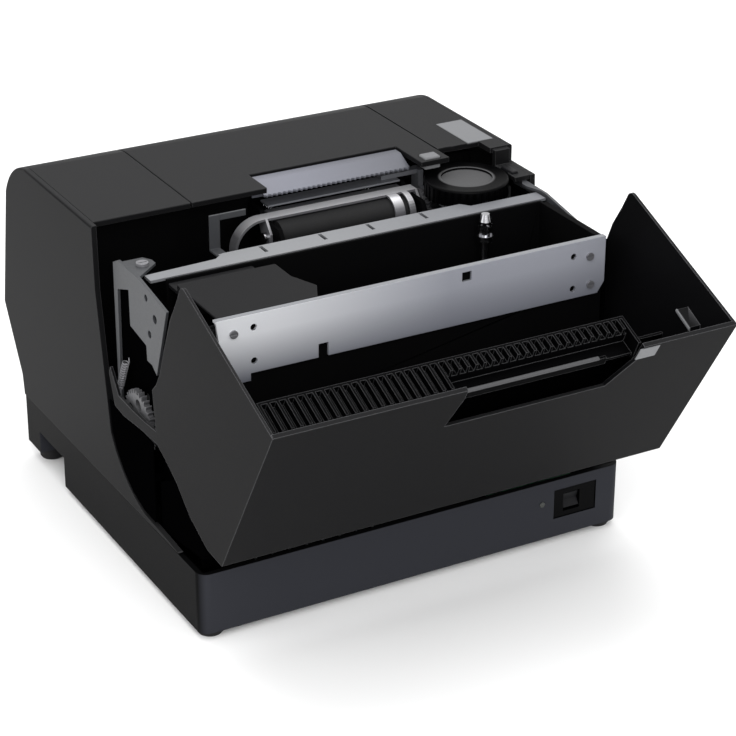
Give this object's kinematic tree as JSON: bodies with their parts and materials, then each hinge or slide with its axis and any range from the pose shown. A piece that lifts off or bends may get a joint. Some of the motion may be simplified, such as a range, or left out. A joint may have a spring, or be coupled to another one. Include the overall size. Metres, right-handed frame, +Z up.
{
  "type": "receipt printer",
  "caption": "Free-standing two-station receipt printer with a hinged top receipt cover and a large front slip cover resting open over a metal chassis",
  "frame": {"origin": "middle of the bounding box in plan, on the plane that the four rubber feet stand on", "axes": "+X to the right seen from the front, +Y to the back, +Z up"},
  "size_m": [0.2536, 0.3426, 0.1909],
  "materials": {
    "housing_black": "fine spark-eroded texture",
    "guide_black": "moulded ribs, fine texture",
    "inner_black": "plain moulded",
    "shelf_grey": "fine texture",
    "button_grey": "moulded",
    "badge_silver": "satin, blank",
    "led_clear": "clear",
    "rubber_black": "ground rubber",
    "sheet_steel": "zinc-plated sheet",
    "bright_steel": "ground and polished",
    "screw_steel": "zinc-plated",
    "motor_steel": "plated can",
    "head_metal": "cast, matt",
    "wheel_black": "moulded, knurled rim",
    "gear_metal": "sintered",
    "board_green": "solder mask",
    "component_black": "moulded"
  },
  "bodies": {
    "chassis": {"badge_plate": "badge_silver", "base_pan": "housing_black", "board_components": "component_black", "carriage_belt": "rubber_black", "carriage_motor": "motor_steel", "cutter_plate": "sheet_steel", "feed_motors": "motor_steel", "front_plate": "sheet_steel", "gear_guard": "inner_black", "guide_shafts": "bright_steel", "head_springs": "bright_steel", "hinge_pins": "bright_steel", "home_shelf": "shelf_grey", "interface_connectors": "component_black", "left_chassis_plate": "sheet_steel", "left_side_panel": "housing_black", "left_top_cover": "housing_black", "lid_brackets": "sheet_steel", "main_board": "board_green", "platen_bar": "inner_black", "power_board": "board_green", "power_inlet": "component_black", "rear_cover": "housing_black", "rear_rail": "sheet_steel", "receipt_frame": "inner_black", "ribbon_motor": "inner_black", "ribbon_tray": "inner_black", "right_chassis_plate": "sheet_steel", "right_side_panel": "housing_black", "right_top_cover": "housing_black", "rubber_feet": "rubber_black", "screws": "screw_steel", "slip_frame": "inner_black", "status_light": "led_clear", "switch_bezel": "button_grey", "thermal_head": "head_metal", "wheel_bracket": "sheet_steel"},
    "front_cover_body": {"front_cover": "housing_black", "slip_guide": "guide_black"},
    "receipt_cover_body": {"receipt_cover": "housing_black"},
    "release_button_body": {"release_button": "button_grey"},
    "feed_button_body": {"feed_button": "button_grey"},
    "rocker_body": {"power_rocker": "button_grey"},
    "carriage_body": {"print_head_carriage": "inner_black", "impact_head": "head_metal"},
    "drive_pulley_body": {"carriage_drive_pulley": "gear_metal"},
    "idler_pulley_body": {"carriage_idler_pulley": "gear_metal"},
    "spindle_body": {"ribbon_spindle": "bright_steel"},
    "slip_feed_body": {"slip_feed_shaft": "bright_steel", "slip_feed_rollers": "rubber_black", "slip_feed_gear": "gear_metal"},
    "slip_pinion_body": {"slip_motor_pinion": "gear_metal"},
    "slip_pinch_body": {"slip_pinch_rollers": "rubber_black"},
    "platen_body": {"receipt_platen": "rubber_black", "platen_shaft": "bright_steel", "platen_gear": "gear_metal"},
    "receipt_pinion_body": {"receipt_motor_pinion": "gear_metal"},
    "cutter_wheel_body": {"cutter_wheel": "wheel_black"},
    "cutter_blade_body": {"cutter_blade": "sheet_steel"},
    "bail_body": {"paper_bail": "sheet_steel"}
  },
  "joints": [
    {"name": "front_cover_hinge", "type": "hinge", "parent": "chassis", "child": "front_cover_body", "pos_m": [0, -0.0845, 0.075], "axis": [-1, 0, 0], "range_deg": [0, 23]},
    {"name": "receipt_cover_hinge", "type": "hinge", "parent": "chassis", "child": "receipt_cover_body", "pos_m": [0, 0.15, 0.152], "axis": [-1, 0, 0], "range_deg": [0, 75]},
    {"name": "release_button_travel", "type": "slide", "parent": "receipt_cover_body", "child": "release_button_body", "axis": [0, 0, -1], "range_m": [0, 0.0015], "stiffness_N_per_m": 400, "springref_m": -0.001},
    {"name": "feed_button_travel", "type": "slide", "parent": "chassis", "child": "feed_button_body", "axis": [0, 0, -1], "range_m": [0, 0.0015], "stiffness_N_per_m": 400, "springref_m": -0.001},
    {"name": "power_rocker_tilt", "type": "hinge", "parent": "chassis", "child": "rocker_body", "pos_m": [0.09375, -0.0775, 0.0229], "axis": [1, 0, 0], "range_deg": [0, 12]},
    {"name": "carriage_travel", "type": "slide", "parent": "chassis", "child": "carriage_body", "axis": [1, 0, 0], "range_m": [0, 0.15]},
    {"name": "drive_pulley_turn", "type": "hinge", "parent": "chassis", "child": "drive_pulley_body", "pos_m": [0.104, -0.0315, 0.116], "axis": [0, 1, 0], "continuous": true},
    {"name": "idler_pulley_turn", "type": "hinge", "parent": "chassis", "child": "idler_pulley_body", "pos_m": [-0.1, -0.0315, 0.116], "axis": [0, 1, 0], "continuous": true},
    {"name": "ribbon_spindle_turn", "type": "hinge", "parent": "chassis", "child": "spindle_body", "pos_m": [0.074, -0.022, 0.15], "axis": [0, 0, 1], "continuous": true},
    {"name": "slip_feed_turn", "type": "hinge", "parent": "chassis", "child": "slip_feed_body", "pos_m": [0, -0.013, 0.091], "axis": [1, 0, 0], "continuous": true},
    {"name": "slip_pinion_turn", "type": "hinge", "parent": "chassis", "child": "slip_pinion_body", "pos_m": [-0.12, 0.00127, 0.07399], "axis": [1, 0, 0], "continuous": true},
    {"name": "slip_pinch_turn", "type": "hinge", "parent": "chassis", "child": "slip_pinch_body", "pos_m": [0, -0.013, 0.1034], "axis": [1, 0, 0], "continuous": true},
    {"name": "platen_turn", "type": "hinge", "parent": "chassis", "child": "platen_body", "pos_m": [0, 0.04, 0.152], "axis": [1, 0, 0], "continuous": true},
    {"name": "receipt_pinion_turn", "type": "hinge", "parent": "chassis", "child": "receipt_pinion_body", "pos_m": [0.071, 0.0452, 0.13772], "axis": [1, 0, 0], "continuous": true},
    {"name": "cutter_wheel_turn", "type": "hinge", "parent": "chassis", "child": "cutter_wheel_body", "pos_m": [0.0895, 0.023, 0.16], "axis": [0, 0, 1], "range_deg": [0, 34.3]},
    {"name": "cutter_blade_travel", "type": "slide", "parent": "chassis", "child": "cutter_blade_body", "axis": [0, -1, 0], "range_m": [0, 0.0048]},
    {"name": "paper_bail_lift", "type": "hinge", "parent": "chassis", "child": "bail_body", "pos_m": [0.02, 0.04, 0.152], "axis": [1, 0, 0], "range_deg": [0, 30]}
  ],
  "couplings": [
    {"joint": "slip_pinion_turn", "follows": "slip_feed_turn", "ratio": -2.6667},
    {"joint": "slip_pinch_turn", "follows": "slip_feed_turn", "ratio": -1.4},
    {"joint": "receipt_pinion_turn", "follows": "platen_turn", "ratio": -1.5},
    {"joint": "drive_pulley_turn", "follows": "carriage_travel", "rad_per_m": 150.38},
    {"joint": "idler_pulley_turn", "follows": "carriage_travel", "rad_per_m": 150.38},
    {"joint": "cutter_blade_travel", "follows": "cutter_wheel_turn", "m_per_rad": 0.008}
  ]
}
